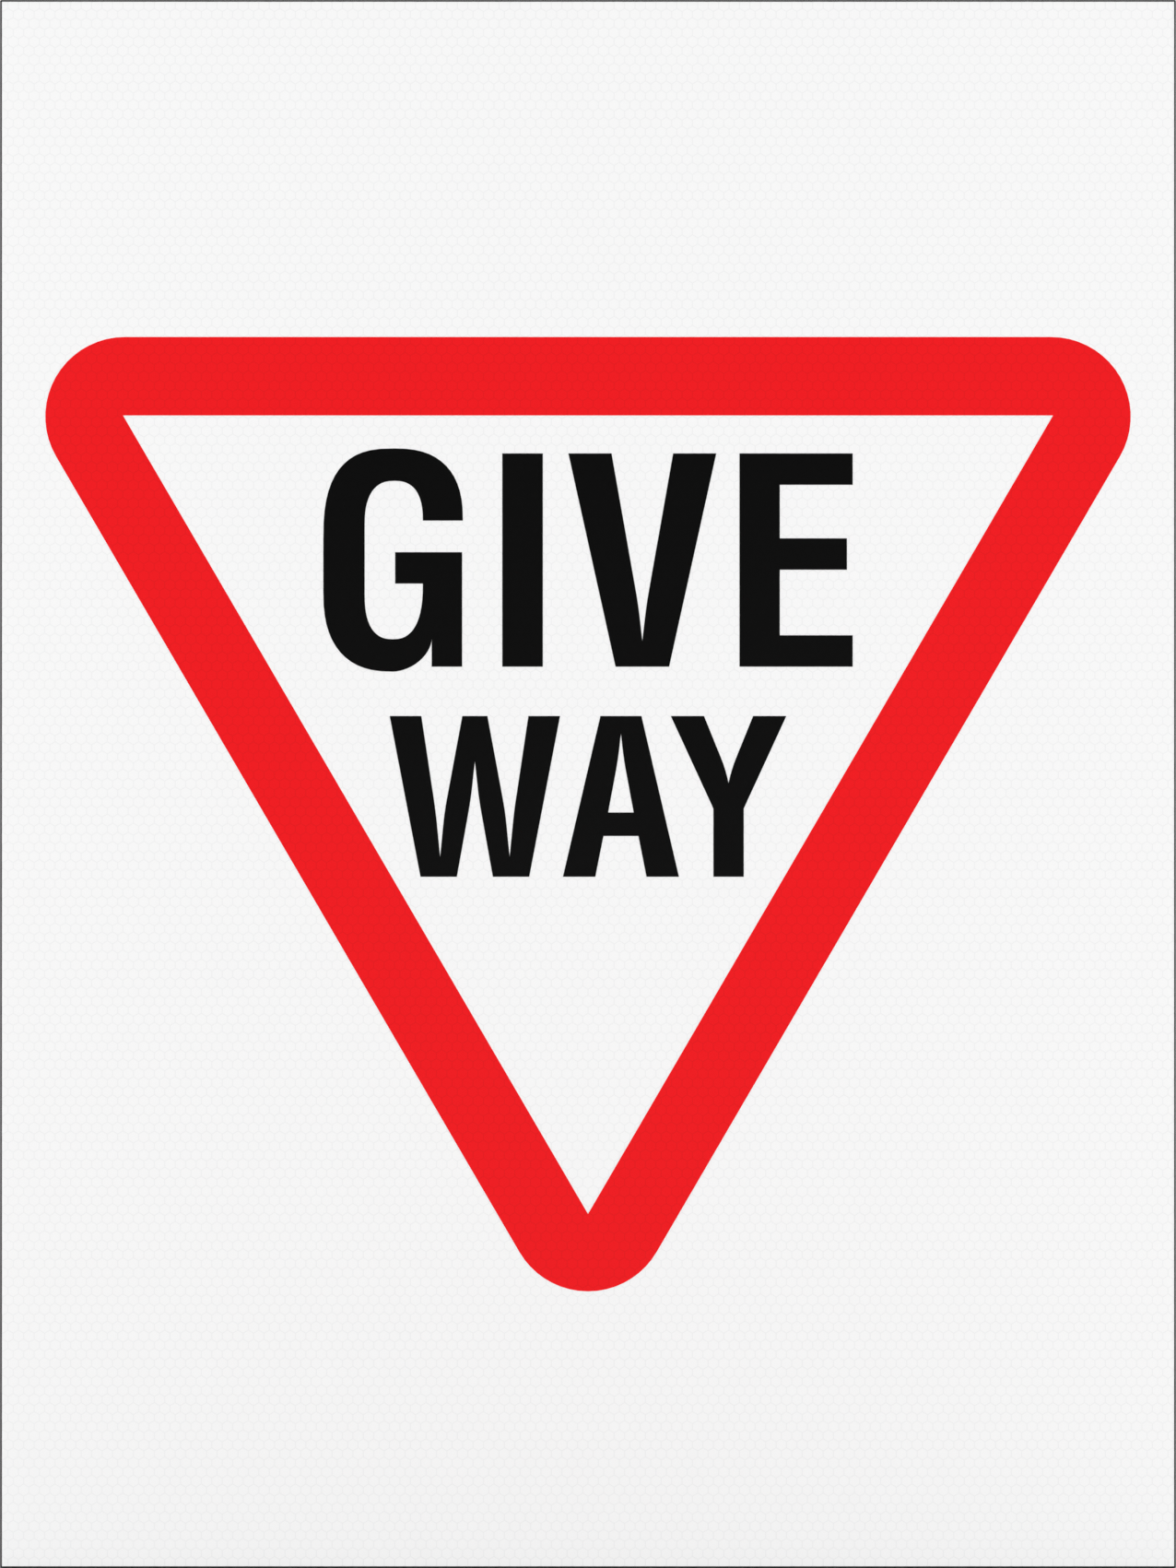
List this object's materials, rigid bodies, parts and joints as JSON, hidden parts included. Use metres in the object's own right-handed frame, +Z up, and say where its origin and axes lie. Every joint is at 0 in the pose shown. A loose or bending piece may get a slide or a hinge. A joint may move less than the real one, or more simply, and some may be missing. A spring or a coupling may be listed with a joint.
{
  "type": "give way sign",
  "caption": "Flat upright road sign: an aluminium plate faced with white reflective sheeting, a red triangular band that points down, and a thin black line round the rim.",
  "frame": {"origin": "middle of the plate's back face, where the sign is fixed", "axes": "+Z up the sign, +Y out of its back into whatever holds it, so the sign faces -Y, and +X to the reader's right"},
  "size_m": [0.45, 0.002, 0.6],
  "materials": {
    "bare_aluminium": "mill finish, with a faint rolling grain and sheared edges",
    "white_sheeting": "smooth reflective sheeting, with a faint cell pattern under its face",
    "red_film": "smooth translucent film, which lets the sheeting's cells show faintly",
    "black_film": "smooth opaque film, satin"
  },
  "bodies": {
    "root": {"sign_plate": "bare_aluminium", "white_sheeting": "white_sheeting", "red_band": "red_film", "border_line": "black_film"}
  },
  "joints": []
}
